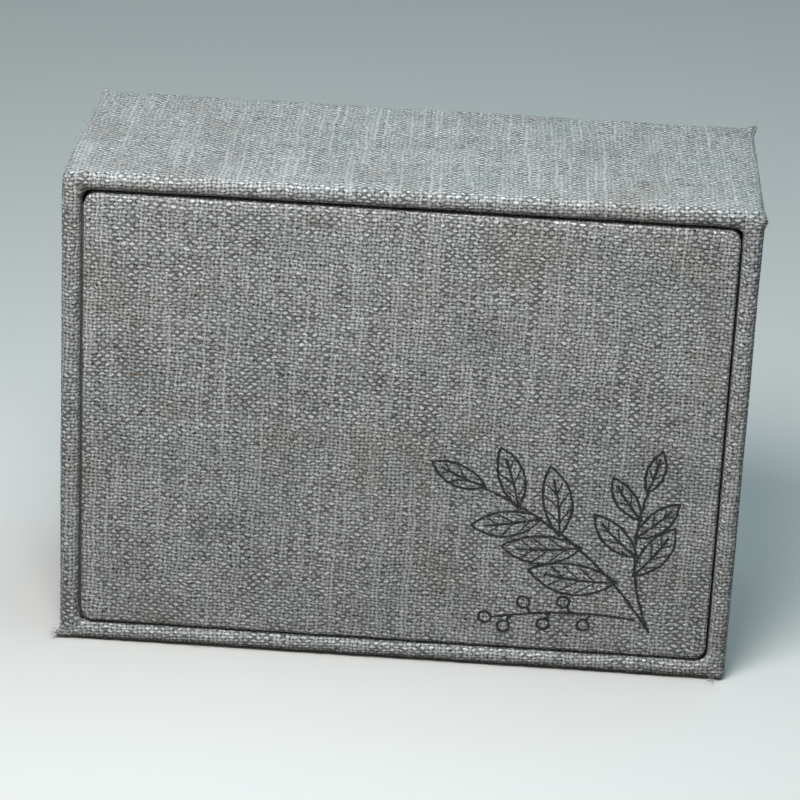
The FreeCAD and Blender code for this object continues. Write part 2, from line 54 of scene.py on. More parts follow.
# A shader socket that can stand in a Python expression
class Signal:
    def __init__(self, tree, socket):
        self.tree = tree
        self.socket = socket

    def add(self, kind, inputs, output=0, stops=None, **settings):
        node = self.tree.nodes.new(kind)
        for name, value in settings.items():
            setattr(node, name, value)
        if stops:
            while len(node.color_ramp.elements) < len(stops):
                node.color_ramp.elements.new(1.0)
            for element, (place, colour) in zip(node.color_ramp.elements, stops):
                element.position = place
                element.color = (*colour, 1)
        for name, value in inputs.items():
            if isinstance(value, Signal):
                self.tree.links.new(value.socket, node.inputs[name])
            else:
                node.inputs[name].default_value = value
        return Signal(self.tree, node.outputs[output])

    def out(self, name):
        return Signal(self.tree, self.socket.node.outputs[name])

    def math(self, operation, *values):
        return self.add("ShaderNodeMath", dict(enumerate(values)), operation=operation)

    def __add__(self, other):
        return self.math("ADD", self, other)

    def __sub__(self, other):
        return self.math("SUBTRACT", self, other)

    def __rsub__(self, other):
        return self.math("SUBTRACT", other, self)

    def __mul__(self, other):
        return self.math("MULTIPLY", self, other)

    def __truediv__(self, other):
        return self.math("DIVIDE", self, other)

    def __pow__(self, other):
        return self.math("POWER", self, other)

    def __gt__(self, other):
        return self.math("GREATER_THAN", self, other)

    def __lt__(self, other):
        return self.math("LESS_THAN", self, other)

    def __abs__(self):
        return self.math("ABSOLUTE", self)

    __radd__ = __add__
    __rmul__ = __mul__

    def least(self, other):
        return self.math("MINIMUM", self, other)

    def most(self, other):
        return self.math("MAXIMUM", self, other)

    def rise(self, low, high):
        # 0 below low and 1 above high, smooth between them
        return self.add("ShaderNodeMapRange", {0: self, 1: low, 2: high}, interpolation_type="SMOOTHSTEP")

    def vector(self, x, y, z=0.0):
        return self.add("ShaderNodeCombineXYZ", {0: x, 1: y, 2: z})

    def cloud(self, place, scale, detail=2.0, roughness=0.5):
        inputs = {"Vector": place, "Scale": scale, "Detail": detail, "Roughness": roughness}
        return self.add("ShaderNodeTexNoise", inputs)

    def channels(self):
        # three unlike values from one noise, each about 0 to 1
        colour = self.out("Color")
        red = self.add("ShaderNodeSeparateColor", {0: colour})
        return red, red.out(1), red.out(2)

    def blend(self, first, second):
        # the signal is the factor between two colours
        return self.add("ShaderNodeMix", {0: self, 6: first, 7: second}, output=2, data_type="RGBA")

    def shade(self, colour):
        # the colour times the signal
        inputs = {0: 1.0, 6: colour, 7: self.vector(self, self, self)}
        return self.add("ShaderNodeMix", inputs, output=2, data_type="RGBA", blend_type="MULTIPLY")


def newMaterial(name):
    material = bpy.data.materials.new(name)
    material.use_nodes = True
    tree = material.node_tree
    shader = tree.nodes["Principled BSDF"]
    return material, shader, Signal(tree, shader.outputs[0])


def plug(shader, name, signal):
    shader.id_data.links.new(signal.socket, shader.inputs[name])


def rgb(*values):
    return (*values, 1.0)


# Book cloth: a plain weave that follows the cloth's own unrolled coordinates, in metres
weaveLook = {
    # standing yarns are warp, lying yarns are weft; widths and heights are shares of the pitch
    "warp": {"pitch": 0.83 * mm, "lean": 0.018, "sway": 1.6, "half": 0.42, "halfVaries": 0.06, "base": 0.335,
             "contrast": 1.6, "tone": 0.315, "highlightHalf": 0.15, "coreHighlight": 0.60, "slubLift": 0.30},
    # the weft's higher tone than the warp's stands partly for painted light from above on the lying yarns
    "weft": {"pitch": 0.74 * mm, "lean": -0.033, "sway": 2.2, "half": 0.43, "halfVaries": 0.23, "base": 0.52,
             "contrast": 1.3, "tone": 0.84, "highlightHalf": 0.20, "coreHighlight": 0.98, "slubLift": 0.14},
    # how far the yarns stray sideways, in pitches, and the scales of that noise per metre of cloth
    "jitter": 1.15,
    "fineJitter": 0.60,
    "swayScale": 70.0,
    "jitterScale": 520.0,
    "fineScale": 1300.0,
    # a yarn's round section, how far it goes over and under, and how quickly it changes level
    "profile": 0.52,
    "edge": 0.72,
    "round": 0.28,
    "lift": 0.43,
    "steepness": 1.1,
    "eachWidth": 0.014,
    # tone along a yarn, its thick stretches, and the step in the noise from one yarn to the next
    "toneScale": 55,
    "toneStride": 5.37,
    "slubScale": 30,
    "slubStride": 3.11,
    "slubRange": (0.60, 0.74),
    "slubTone": 0.30,
    "slubWidth": 0.05,
    # painted highlight: the bright middle of a yarn where it floats on top
    "highlightFloat": 0.6,
    "highlightTone": 1.1,
    "highlightSpark": 1.2,
    # painted shade in the fade to dark beside a yarn, and in small gaps, some of them filled with fluff
    "shadeFadeRange": (0.33, 0.95),
    "fray": 0.60,
    "gapShadeRange": (0.12, 0.49),
    "gapShade": 0.97,
    "fluffRange": (0.25, 0.65),
    # on the sleeve's top, inside half its length and half its depth, the standing yarns lie flatter, and the
    # painted highlights and the painted shade in the gaps are weaker
    "topReach": (64.5 * mm, 27.2 * mm),
    "topFade": (1 * mm, 2 * mm),
    "topCalm": 0.0,
    "topSink": 0.12,
    "topWarpHighlightCalm": 0.8,
    "topWeftHighlightCalm": 0.3,
    "topGapShadeCalm": 0.4,
    # uneven tone: in broad patches, in flecks and at each crossing
    "broadScale": 75.0,
    "broad": 0.50,
    "fleck": 0.70,
    "eachTone": 0.40,
    # fine hairs and fuzz
    "hairScale": 4200.0,
    "hairHeight": 0.12,
    "grain": 0.72,
    "fuzzScale": 1500.0,
    "fuzz": 0.30,
    "relief": 0.12 * mm,
    # a yarn's colour goes with its tone: low at 0, high at 0.5 and full at 1
    "low": rgb(0.188, 0.192, 0.182),
    "high": rgb(0.500, 0.500, 0.494),
    "full": rgb(0.530, 0.530, 0.523),
    # painted shade where the weave lies low
    "hollowShade": rgb(0.012, 0.011, 0.010),
    # single yarns are warmer, and broad patches warmer or greener
    "warm": rgb(0.31, 0.265, 0.215),
    "green": rgb(0.34, 0.40, 0.37),
    "yarnRange": (0.60, 0.78),
    "yarnWarm": 0.32,
    "patchRange": (0.50, 0.68),
    "patchWarm": 0.27,
    "patchGreen": 0.25,
    "stain": rgb(0.30, 0.235, 0.165),
    "stainShare": 0.65,
    "ink": rgb(0.020, 0.022, 0.024),
    # gloss
    "roughness": 0.97,
    "floatGloss": 0.17,
    "specular": 0.25,
    "sheen": 0.12,
    "sheenRoughness": 0.5,
}


def yarnSet(start, weave, look, count, along, seed):
    # one noise runs slowly along each yarn, a second one gives it thick stretches
    place = start.vector(count * weave["toneStride"], along * weave["toneScale"], seed)
    tone, width, tint = start.cloud(place, 1.0, 1.0).channels()
    place = start.vector(count * weave["slubStride"], along * weave["slubScale"], seed + 40)
    slub = start.cloud(place, 1.0, 0.0).rise(*weave["slubRange"])
    tone = (tone - 0.5) * look["contrast"] + slub * weave["slubTone"]
    return {"tone": tone, "width": width, "tint": tint, "slub": slub}


def yarnShape(weave, look, yarn, each, across, acrossOther, over):
    # the height of one yarn set over its own width and its waves over and under the other
    half = look["half"] + yarn["width"] * look["halfVaries"] + yarn["slub"] * weave["slubWidth"]
    half = half + each * weave["eachWidth"]
    bulge = (1 - (across / half) ** 2.0).most(0.0) ** weave["profile"]
    wave = across.math("COSINE", acrossOther * math.pi) * over * weave["steepness"]
    wave = wave.least(1.0).most(-1.0)
    height = look["base"] + bulge * weave["round"] + wave * weave["lift"] + yarn["slub"] * look["slubLift"]
    # where a yarn floats on top it gets a painted highlight down its middle
    floating = (wave * weave["highlightFloat"] + (1 - weave["highlightFloat"])).most(0.0)
    coreHighlight = (1 - (across / look["highlightHalf"]) ** 2.0).most(0.0) * floating
    coreHighlight = coreHighlight * (1 + yarn["tone"] * weave["highlightTone"]).most(0.0) * look["coreHighlight"]
    return height * bulge.rise(0.0, weave["edge"]), coreHighlight


def weaveSignals(start, look, seed):
    place = start.add("ShaderNodeUVMap", {}, uv_map="weave")
    u = start.add("ShaderNodeSeparateXYZ", {0: place})
    v = u.out("Y")
    swayU, swayV = start.cloud(place, look["swayScale"], 1.0).channels()[:2]
    jitterU, jitterV, fleck = start.cloud(place, look["jitterScale"], 1.0).channels()
    fineU, fineV, fluff = start.cloud(place, look["fineScale"], 0.0).channels()
    shiftU = (jitterU - 0.5) * look["jitter"] + (fineU - 0.5) * look["fineJitter"]
    shiftV = (jitterV - 0.5) * look["jitter"] + (fineV - 0.5) * look["fineJitter"]
    warpLook = look["warp"]
    weftLook = look["weft"]
    warpPlace = (u + v * warpLook["lean"]) / warpLook["pitch"] + (swayU - 0.5) * warpLook["sway"] + shiftU
    weftPlace = (v + u * weftLook["lean"]) / weftLook["pitch"] + (swayV - 0.5) * weftLook["sway"] + shiftV
    warpCount = warpPlace.math("FLOOR", warpPlace)
    weftCount = weftPlace.math("FLOOR", weftPlace)
    acrossWarp = warpPlace - warpCount - 0.5
    acrossWeft = weftPlace - weftCount - 0.5
    over = (warpCount + weftCount).math("FLOORED_MODULO", warpCount + weftCount, 2.0) * 2 - 1
    each = start.add("ShaderNodeTexWhiteNoise", {0: start.vector(warpCount, weftCount, seed)})

    warp = yarnSet(start, look, warpLook, warpCount, v, seed)
    weft = yarnSet(start, look, weftLook, weftCount, u, seed + 20)
    onTop = look["topCalm"]
    for along, reach, fade in zip((u, v), look["topReach"], look["topFade"]):
        onTop = abs(along).rise(reach, reach - fade) * onTop
    warpHeight, warpHighlight = yarnShape(look, warpLook, warp, each, acrossWarp, acrossWeft, over)
    warpHeight = warpHeight - onTop * look["topSink"]
    weftHeight, weftHighlight = yarnShape(look, weftLook, weft, each, acrossWeft, acrossWarp, 0 - over)
    onWarp = warpHeight > weftHeight
    # on the sleeve's top the painted highlights on the yarns are weaker
    warpHighlight = warpHighlight * (1 - onTop * look["topWarpHighlightCalm"])
    weftHighlight = weftHighlight * (1 - onTop * look["topWeftHighlightCalm"])
    # painted shade in small gaps between the yarns, some of them filled with fluff
    gapShade = fluff.rise(*look["fluffRange"]) * (1 - onTop * look["topGapShadeCalm"])
    for across in (acrossWarp, acrossWeft):
        gapShade = gapShade * abs(across).rise(*look["gapShadeRange"])
    return {
        "place": place, "warp": warp, "weft": weft, "height": warpHeight.most(weftHeight), "onWarp": onWarp,
        "coreHighlight": onWarp * warpHighlight + (1 - onWarp) * weftHighlight, "gapShade": gapShade, "fleck": fleck, "each": each,
    }


def yarnColour(start, look, yarn, lift):
    stops = [(0.0, look["low"][:3]), (0.5, look["high"][:3]), (1.0, look["full"][:3])]
    plain = start.add("ShaderNodeValToRGB", {0: (yarn["tone"] + lift).most(0.0)}, stops=stops)
    return (yarn["tint"].rise(*look["yarnRange"]) * look["yarnWarm"]).blend(plain, look["warm"])


def clothMaterial(name, look, seed, inkOf=None, stainOf=None):
    material, shader, start = newMaterial(name)
    cloth = weaveSignals(start, look, seed)
    broadTone, broadTint, broadGreen = start.cloud(cloth["place"], look["broadScale"], 2.0).channels()
    hairs = start.cloud(cloth["place"], look["hairScale"], 2.0, 0.7)
    fuzz = start.cloud(cloth["place"], look["fuzzScale"], 1.0) - 0.5

    patchLift = (broadTone - 0.5) * look["broad"] + (cloth["fleck"] - 0.5) * look["fleck"]
    patchLift = patchLift + (cloth["each"] - 0.5) * look["eachTone"]
    warpColour = yarnColour(start, look, cloth["warp"], patchLift + look["warp"]["tone"])
    weftColour = yarnColour(start, look, cloth["weft"], patchLift + look["weft"]["tone"])
    colour = cloth["onWarp"].blend(weftColour, warpColour)
    colour = (broadTint.rise(*look["patchRange"]) * look["patchWarm"]).blend(colour, look["warm"])
    colour = (broadGreen.rise(*look["patchRange"]) * look["patchGreen"]).blend(colour, look["green"])
    if stainOf:
        colour = (stainOf(start) * look["stainShare"]).blend(colour, look["stain"])
    # painted shade: the colour fades to near black where the weave lies low
    cavityShade = (cloth["height"] + fuzz * look["fray"]).rise(*look["shadeFadeRange"])
    colour = cavityShade.blend(look["hollowShade"], colour)
    # painted highlight down the middle of the floating yarns, varying at each crossing; grain also holds the
    # fuzz and hairs
    highlightSpark = 1 + cloth["coreHighlight"] * (1 + (cloth["each"] - 0.5) * look["highlightSpark"])
    grain = highlightSpark * (1 + fuzz * look["fuzz"]) * (1 + (hairs - 0.5) * look["grain"])
    # painted shade darkens the small gaps between the yarns
    colour = (grain * (1 - cloth["gapShade"] * look["gapShade"])).shade(colour)
    if inkOf:
        colour = inkOf(start, cloth["height"]).blend(colour, look["ink"])
    plug(shader, "Base Color", colour)

    bump = start.add("ShaderNodeBump", {
        "Strength": 1.0, "Distance": look["relief"],
        "Height": cloth["height"] + (hairs - 0.5) * look["hairHeight"],
    })
    plug(shader, "Normal", bump)
    plug(shader, "Roughness", look["roughness"] - cloth["height"] * look["floatGloss"])
    shader.inputs["Specular IOR Level"].default_value = look["specular"]
    shader.inputs["Sheen Weight"].default_value = look["sheen"]
    shader.inputs["Sheen Roughness"].default_value = look["sheenRoughness"]
    return material


# The printed twigs stand in the lower right of the front panel, in millimetres from its middle
twigLook = {
    "lineWidth": 0.46,
    "lineEdges": (0.28, 0.62),
    "inkShare": 0.92,
    # the ink follows the weave and breaks up a little
    "wobble": 0.6,
    "wobbleScale": 900.0,
    "weaveBreak": 0.14,
    "fadeBreak": 0.16,
    "onPanel": 0.3 * mm,
    # a leaf, as shares of its length, and its veins in mm
    "leafWide": 0.19,
    "leafBend": -0.010,
    "midrib": (-0.10, 0.40),
    "veinReach": 0.30,
    "veinSlant": 1.3,
    "veinGap": 3.1,
    "veinShare": 0.62,
    "veinInset": 0.55,
    "veinThin": 0.10,
    "lastLeaf": 0.94,
    "leafShrink": 0.40,
    "stems": [
        {"foot": (49.5, -38.5), "tip": (16.5, -10.5), "bend": 0.0070, "firstLeaf": 0.26, "leaves": 7,
         "leafLength": 19.0, "firstSide": 1, "leftOut": [1]},
        {"foot": (49.5, -38.5), "tip": (47.5, -9.5), "bend": -0.012, "firstLeaf": 0.40, "leaves": 5,
         "leafLength": 15.0, "firstSide": -1, "leftOut": []},
    ],
    "spread": math.radians(43),
    "berryStem": {"foot": (46.5, -36.2), "tip": (19.0, -37.5), "bend": 0.006},
    "berries": 6,
    "berryRadius": 1.15,
    "firstBerry": 0.30,
    "berryLean": 0.6,
    "stalk": 2.4,
}


class Drawing:
    # the panel's coordinates turned into those of one stem or leaf, bent across its length
    def __init__(self, x, y, middle, angle, bend=0.0, half=0.0):
        dx = x - middle[0]
        dy = y - middle[1]
        self.x = dx * math.cos(angle) + dy * math.sin(angle)
        self.y = dy * math.cos(angle) - dx * math.sin(angle)
        if bend:
            self.y = self.y - (self.x ** 2.0 - half * half) * bend


def stemPlace(stem, share, half, axis, side):
    along = half * (2 * share - 1)
    middle = (Vector(stem["foot"]) + Vector(stem["tip"])) / 2
    place = middle + axis * along + side * (stem["bend"] * (along * along - half * half))
    return place, math.atan(2 * stem["bend"] * along)


def leafLines(leaf, length, look):
    # a pointed outline of two arcs, the midrib and slanting veins
    wide = length * look["leafWide"]
    reach = length / 2
    radius = (reach * reach + wide * wide) / (2 * wide)
    aside = abs(leaf.y)
    edge = (leaf.x ** 2.0 + (aside + (radius - wide)) ** 2.0) ** 0.5 - radius
    ribMiddle, ribHalf = look["midrib"]
    midrib = aside.most(abs(leaf.x - length * ribMiddle) - length * ribHalf)
    slant = (leaf.x - aside * look["veinSlant"]) / look["veinGap"]
    vein = abs(slant - slant.math("FLOOR", slant) - 0.5) * (look["veinGap"] * look["veinShare"])
    vein = vein.most(edge + look["veinInset"]).most(abs(leaf.x) - length * look["veinReach"])
    return abs(edge).least(midrib).least(vein + look["veinThin"])


def twigLines(start, x, y, look):
    # the distance in mm to the nearest line of the drawing
    nearest = None
    for stem in look["stems"] + [look["berryStem"]]:
        run = Vector(stem["tip"]) - Vector(stem["foot"])
        half = run.length / 2
        axis = run.normalized()
        side = Vector((-axis.y, axis.x))
        angle = math.atan2(run.y, run.x)
        bent = Drawing(x, y, (Vector(stem["foot"]) + Vector(stem["tip"])) / 2, angle, stem["bend"], half)
        line = abs(bent.y).most(abs(bent.x) - half)
        nearest = line if nearest is None else nearest.least(line)
        for number in range(stem.get("leaves", 0)):
            if number in stem["leftOut"]:
                continue
            last = number == stem["leaves"] - 1
            first = stem["firstLeaf"]
            share = 1.0 if last else first + (look["lastLeaf"] - first) * number / (stem["leaves"] - 1)
            base, slope = stemPlace(stem, share, half, axis, side)
            way = stem["firstSide"] * (1 if number % 2 == 0 else -1)
            heading = angle + slope + (0 if last else look["spread"] * way)
            length = stem["leafLength"] * (1.0 - look["leafShrink"] * share)
            centre = base + Vector((math.cos(heading), math.sin(heading))) * (length / 2)
            leaf = Drawing(x, y, centre, heading, look["leafBend"] * way)
            nearest = nearest.least(leafLines(leaf, length, look))
        if stem is look["berryStem"]:
            for number in range(look["berries"]):
                share = look["firstBerry"] + (1 - look["firstBerry"]) * number / (look["berries"] - 1)
                base, slope = stemPlace(stem, share, half, axis, side)
                way = 0 if number == look["berries"] - 1 else (1 if number % 2 == 0 else -1)
                radius = look["berryRadius"]
                outwards = (side * way + axis * look["berryLean"]).normalized()
                centre = base + outwards * radius * (look["stalk"] if way else 1.0)
                dot = Drawing(x, y, centre, 0.0)
                nearest = nearest.least(abs((dot.x ** 2.0 + dot.y ** 2.0) ** 0.5 - radius))
                if way:
                    aim = centre - base
                    halfStalk = (aim.length - radius) / 2
                    stalk = Drawing(x, y, base + aim.normalized() * halfStalk, math.atan2(aim.y, aim.x))
                    nearest = nearest.least(abs(stalk.y).most(abs(stalk.x) - halfStalk))
    return nearest


def panelPlace(start):
    # millimetres from the middle of the drawer's front panel
    low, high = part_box("drawer_cloth")
    here = start.add("ShaderNodeTexCoord", {}, output="Object")
    x = start.add("ShaderNodeSeparateXYZ", {0: here})
    onPanel = x.out("Y") < low.y + twigLook["onPanel"]
    return here, x * 1000, (x.out("Z") - (low.z + high.z) / 2) * 1000, onPanel


def twigInk(start, height):
    here, x, y, onPanel = panelPlace(start)
    look = twigLook
    across, up, fade = start.cloud(here, look["wobbleScale"], 1.0).channels()
    x = x + (across - 0.5) * look["wobble"]
    distance = twigLines(start, x, y + (up - 0.5) * look["wobble"], look)
    distance = distance + (0.5 - height) * look["weaveBreak"] + (fade - 0.5) * look["fadeBreak"]
    onLine = 1 - distance.rise(*(look["lineWidth"] * share for share in look["lineEdges"]))
    return onLine * onPanel * look["inkShare"]


# place, half length and half width in mm of brown bits in the front panel
brownSlubs = [(-50.7, 8.3, 1.6, 0.65), (-32.6, 14.0, 1.1, 0.4), (21.5, 31.0, 0.9, 0.35)]
slubFade = (0.3, 1.3)


def slubStain(start):
    here, x, y, onPanel = panelPlace(start)
    stain = None
    for placeX, placeY, halfLength, halfWidth in brownSlubs:
        outwards = ((x - placeX) / halfLength) ** 2.0 + ((y - placeY) / halfWidth) ** 2.0
        spot = 1 - outwards.rise(*slubFade)
        stain = spot if stain is None else stain.most(spot)
    return stain * onPanel


linen = clothMaterial("sleeveLinen", dict(weaveLook, topCalm=1.0), 3.0)
panelLinen = clothMaterial("drawerLinen", weaveLook, 11.0, twigInk, slubStain)
print("cloth materials made")


# Cloth is wrapped the way it is made up: a flat sheet, rolled over the edges of the boards
def traceSection(stages):
    # follows the section of a wrapped edge by stages of (length, turn, steps), from heading to the edge
    depth, reach, heading, travelled = 0.0, 0.0, 0.0, 0.0
    rows = [(depth, reach, heading, travelled)]
    for length, turn, steps in stages:
        bend = turn / steps
        for step in range(steps):
            piece = length / steps
            chord = 2 * length / turn * math.sin(bend / 2) if turn else piece
            depth += chord * math.sin(heading + bend / 2)
            reach += chord * math.cos(heading + bend / 2)
            heading += bend
            travelled += piece
            rows.append((depth, reach, heading, travelled))
    return rows


def flipped(rows):
    # the same section towards the other edge, without the row in the middle
    return [(depth, -reach, heading, -travelled) for depth, reach, heading, travelled in rows[:0:-1]]


class Wrap:
    # a closed band of cloth round four sides: side 0 faces up the second axis, then clockwise
    def __init__(self, halfs, section, roll, innerCorner, wall, mouthRoll, step, cornerSteps,
                 turnedSides=()):
        self.turnedSides = turnedSides
        self.halfs = halfs
        self.section = section
        self.roll = roll
        self.innerCorner = innerCorner
        self.wall = wall
        self.mouthRoll = mouthRoll
        self.leastCorner = 0.25 * mm  # no corner is quite sharp
        self.along = [Vector((1, 0)), Vector((0, -1)), Vector((-1, 0)), Vector((0, 1))]
        self.normal = [Vector((0, 1)), Vector((1, 0)), Vector((0, -1)), Vector((-1, 0))]
        self.straight = [halfs[side % 2] - roll for side in range(4)]
        self.start = [0.0]
        for side in range(3):
            gap = self.straight[side] + roll * quarter + self.straight[side + 1]
            self.start.append(self.start[side] + gap)
        self.columns = []
        for side in range(4):
            count = round(2 * self.straight[side] / step)
            self.columns += [(side, -1 + 2 * number / count, None) for number in range(count + 1)]
            turns = [quarter * number / cornerSteps for number in range(1, cornerSteps)]
            self.columns += [(side, 1.0, angle) for angle in turns]
        self.columns.append(self.columns[0])

    def cornerAt(self, row):
        depth, reach, heading, travelled = row
        if heading < quarter - 0.01:
            return max(self.roll * math.cos(heading), self.leastCorner)
        share = min(max((depth - self.roll) / (self.wall - self.mouthRoll - self.roll), 0.0), 1.0)
        wide = self.innerCorner + self.wall - depth
        return self.leastCorner + (wide - self.leastCorner) * share

    def point(self, column, number):
        side, share, angle = self.columns[column]
        row = self.section[number]
        corner = self.cornerAt(row)
        halfAlong = self.halfs[side % 2] - row[0] - corner
        halfAcross = self.halfs[1 - side % 2] - row[0]
        if angle is None:
            return self.along[side] * (halfAlong * share) + self.normal[side] * halfAcross, row[1]
        turned = self.normal[side] * math.cos(angle) + self.along[side] * math.sin(angle)
        centre = self.along[side] * halfAlong + self.normal[side] * (halfAcross - corner)
        return centre + turned * corner, row[1]

    def faceSide(self, column):
        side, share, angle = self.columns[column]
        after = self.columns[column + 1][2]
        if angle is None and after is None:
            return side
        middle = ((angle or 0.0) + (quarter if after is None else after)) / 2
        return side if middle < quarter / 2 else (side + 1) % 4

    def unrolled(self, column, number, viewSide):
        # where this point lay on the flat sheet, as seen from one side
        side, share, angle = self.columns[column]
        depth, reach, heading, travelled = self.section[number]
        p = self.point(column, number)[0].dot(self.along[viewSide])
        if angle is not None:
            turn = angle if side == viewSide else angle - quarter
            # round the corner of a mouth the edge strip gets deeper
            deeper = self.cornerAt(self.section[number]) * (1 - math.cos(turn)) * abs(math.sin(heading))
            travelled += math.copysign(deeper, travelled)
            flat = max(math.cos(min(heading, quarter)), 0.0)
            rolled = flat * self.roll * abs(turn) + (1 - flat) * (abs(p) - self.straight[viewSide])
            p = math.copysign(self.straight[viewSide] + rolled, p)
        if viewSide in self.turnedSides:
            return travelled, self.start[viewSide] + p
        return self.start[viewSide] + p, travelled


def wrapCloth(name, wrap, toFrame, thickness, cut, shape, material):
    rows = len(wrap.section)
    bm = bmesh.new()
    bmesh.ops.create_grid(bm, x_segments=len(wrap.columns) - 1, y_segments=rows - 1, size=1)
    uvLayer = bm.loops.layers.uv.new("weave")
    cell = {}
    for vert in bm.verts:
        column = round((vert.co.x + 1) / 2 * (len(wrap.columns) - 1))
        row = round((vert.co.y + 1) / 2 * (rows - 1))
        cell[vert] = (column, row)
    for face in bm.faces:
        side = wrap.faceSide(min(cell[vert][0] for vert in face.verts))
        face.smooth = True
        for loop in face.loops:
            loop[uvLayer].uv = wrap.unrolled(*cell[loop.vert], side)
    for vert in bm.verts:
        vert.co = toFrame(*wrap.point(*cell[vert]))
    slits = [face for face in bm.faces if cut(face.calc_center_median())]
    bmesh.ops.delete(bm, geom=slits, context="FACES")
    bmesh.ops.remove_doubles(bm, verts=bm.verts, dist=0.002 * mm)
    bmesh.ops.recalc_face_normals(bm, faces=bm.faces)
    bm.normal_update()
    moves = [(vert, shape(vert.co.copy(), vert.normal.copy())) for vert in bm.verts]
    for vert, move in moves:
        vert.co += move
    mesh = bpy.data.meshes.new(name)
    bm.to_mesh(mesh)
    bm.free()
    mesh.materials.append(material)
    piece = bpy.data.objects.new(name, mesh)
    bpy.context.scene.collection.objects.link(piece)
    sheetBack = piece.modifiers.new("clothThickness", "SOLIDIFY")
    sheetBack.thickness = thickness
    sheetBack.offset = -1
    return piece


def waviness(co, size, height):
    return noise.noise(co * (1 / size)) * height


def knobs(co, normal, size, height):
    # the yarns stand out as little knobs where the cloth is rolled over an edge
    rolled = 1 - max(abs(normal.x), abs(normal.y), abs(normal.z)) ** 8
    return normal * (waviness(co, size, height) * rolled)


def smoothStep(value):
    value = min(max(value, 0.0), 1.0)
    return value * value * (3 - 2 * value)


def pulls(here, places):
    # the sum of soft pulls round some places, each with its reach
    move = Vector()
    for place, pull, reach in places:
        move += Vector(pull) * smoothStep(1 - (here - Vector(place)).length / reach)
    return move


# Sleeve cloth
sleeveCloth = {
    "thickness": 0.42 * mm,
    "outerRoll": 1.58 * mm,
    "mouthRoll": 1.48 * mm,
    "openingCorner": 2.2 * mm,
    "turnIn": 12.0 * mm,
    "slitWidth": 1.2 * mm,
    "slitStart": 2.4 * mm,
    "slitMargin": 0.05 * mm,
    "columnStep": 0.55 * mm,
    "rowStep": 3.2 * mm,
    "rollSteps": 6,
    "stripSteps": 2,
    "turnInSteps": 4,
    # unevenness: how far it is from bump to bump, and how high
    "waves": [(22 * mm, 0.08 * mm), (4 * mm, 0.03 * mm)],
    "knobSize": 1.2 * mm,
    "knobHeight": 0.22 * mm,
    "bottomHollow": 0.34 * mm,
    "hollowRise": 3.2 * mm,
    "creaseDepth": 0.10 * mm,
    "creaseWidth": 0.45 * mm,
    "creaseEnd": 0.5 * mm,
    # folded corners that stand out: which corner, how far in mm, and how wide the fold is
    "ears": [
        ((1, 1, 1), (2.3, 0.6, 1.6), 2.5), ((-1, 1, 1), (-0.9, 0.6, 1.2), 2.4),
        ((-1, -1, -1), (-2.4, -0.4, 0.1), 2.8), ((1, -1, 0.965), (0.9, -0.3, -0.1), 2.6),
        ((1, -1, -1), (0.3, -0.5, 0.1), 2.6), ((-1, -1, 1), (0.22, 0.15, -0.28), 4.6),
        ((-1, 1, -1), (-0.8, 0.5, 0.1), 2.6), ((1, 1, -1), (0.9, 0.6, 0.1), 2.6),
    ],
}
sleeveLow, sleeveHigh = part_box("sleeve_cloth")
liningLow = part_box("sleeve_lining")[0]
sleeveMiddle = (sleeveLow + sleeveHigh) / 2
sleeveHalf = (sleeveHigh - sleeveLow) / 2
clothLayer = 0.45 * mm  # between the lining and the board, in the solids
sleeveWall = liningLow.x - sleeveLow.x + clothLayer


